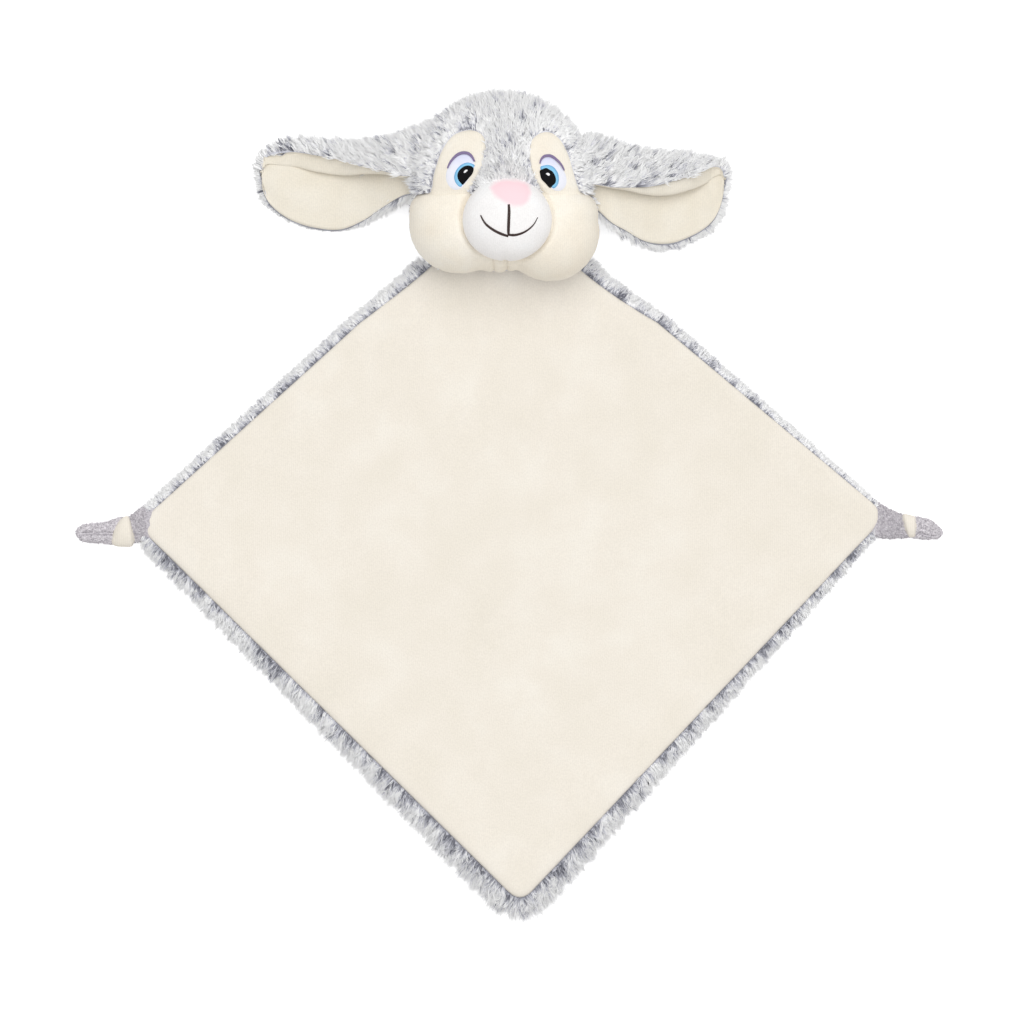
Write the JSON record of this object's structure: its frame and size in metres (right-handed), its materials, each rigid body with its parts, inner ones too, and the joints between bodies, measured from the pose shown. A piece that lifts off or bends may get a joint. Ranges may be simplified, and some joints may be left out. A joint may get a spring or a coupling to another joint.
{
  "type": "comfort blanket lovey",
  "caption": "Square velour and fur comfort blanket with a stuffed rabbit's head sewn to one corner and a knotted arm at each side corner.",
  "frame": {"origin": "on the blanket's flat underside, midway between the two arms", "axes": "+Z out of the cream front, +Y from the blanket's middle towards the head, +X towards the arm on the right of the picture"},
  "size_m": [0.568, 0.5368, 0.0893],
  "materials": {
    "grey_fur": "long-pile polyester fur, light grey with darker streaks and white tips",
    "cream_velour": "short-pile knitted velour, cream",
    "white_velour": "short-pile knitted velour, white with a soft pink nose",
    "grey_plush": "short-pile plush, warm grey",
    "stuffing": "polyester fibre filling, inside",
    "lavender_thread": "satin-stitched embroidery thread, pale lavender",
    "blue_thread": "satin-stitched embroidery thread, sky blue",
    "black_thread": "satin-stitched embroidery thread, black",
    "white_thread": "satin-stitched embroidery thread, white",
    "violet_thread": "stem-stitched embroidery thread, dusky violet",
    "mouth_thread": "stem-stitched embroidery thread, dark brown"
  },
  "bodies": {
    "blanket": {"blanket_back_panel": "grey_fur", "blanket_front_panel": "cream_velour"},
    "head": {"head_stuffing": "stuffing", "head_back_panel": "grey_fur", "head_crown_panel": "grey_fur", "left_eye_patch": "cream_velour", "right_eye_patch": "cream_velour", "left_cheek": "cream_velour", "right_cheek": "cream_velour", "chin_gusset": "cream_velour", "muzzle_cover": "white_velour", "muzzle_stuffing": "stuffing", "mouth_philtrum": "mouth_thread", "mouth_smile_left": "mouth_thread", "mouth_smile_right": "mouth_thread", "left_eye_white": "lavender_thread", "left_eye_iris": "blue_thread", "left_eye_pupil": "black_thread", "left_eye_highlight": "white_thread", "left_eye_lid_line": "violet_thread", "right_eye_white": "lavender_thread", "right_eye_iris": "blue_thread", "right_eye_pupil": "black_thread", "right_eye_highlight": "white_thread", "right_eye_lid_line": "violet_thread"},
    "left_ear": {"left_ear_back": "grey_fur", "left_ear_lining": "cream_velour"},
    "right_ear": {"right_ear_back": "grey_fur", "right_ear_lining": "cream_velour"},
    "left_arm": {"left_arm_root": "grey_plush", "left_arm_knot": "cream_velour"},
    "left_arm_tip": {"left_arm_tip": "grey_plush"},
    "right_arm": {"right_arm_root": "grey_plush", "right_arm_knot": "cream_velour"},
    "right_arm_tip": {"right_arm_tip": "grey_plush"}
  },
  "joints": [
    {"name": "head_nod", "type": "hinge", "parent": "blanket", "child": "head", "pos_m": [-0.0016, 0.1628, 0.0052], "axis": [1, 0, 0], "range_deg": [-60, 50]},
    {"name": "left_ear_lift", "type": "hinge", "parent": "head", "child": "left_ear", "pos_m": [-0.0615, 0.23, 0.032], "axis": [0, 1, 0], "range_deg": [-12, 80]},
    {"name": "right_ear_lift", "type": "hinge", "parent": "head", "child": "right_ear", "pos_m": [0.0615, 0.219, 0.032], "axis": [0, -1, 0], "range_deg": [-12, 80]},
    {"name": "left_arm_swing", "type": "hinge", "parent": "blanket", "child": "left_arm", "pos_m": [-0.239, -0.0032, 0.005], "axis": [0, 1, 0], "range_deg": [-85, 85]},
    {"name": "left_arm_tip_bend", "type": "hinge", "parent": "left_arm", "child": "left_arm_tip", "pos_m": [-0.266, -0.0092, 0.0045], "axis": [0, 1, 0], "range_deg": [-60, 60]},
    {"name": "right_arm_swing", "type": "hinge", "parent": "blanket", "child": "right_arm", "pos_m": [0.239, 0.0032, 0.005], "axis": [0, -1, 0], "range_deg": [-85, 85]},
    {"name": "right_arm_tip_bend", "type": "hinge", "parent": "right_arm", "child": "right_arm_tip", "pos_m": [0.2669, -0.0028, 0.0045], "axis": [0, -1, 0], "range_deg": [-60, 60]}
  ]
}
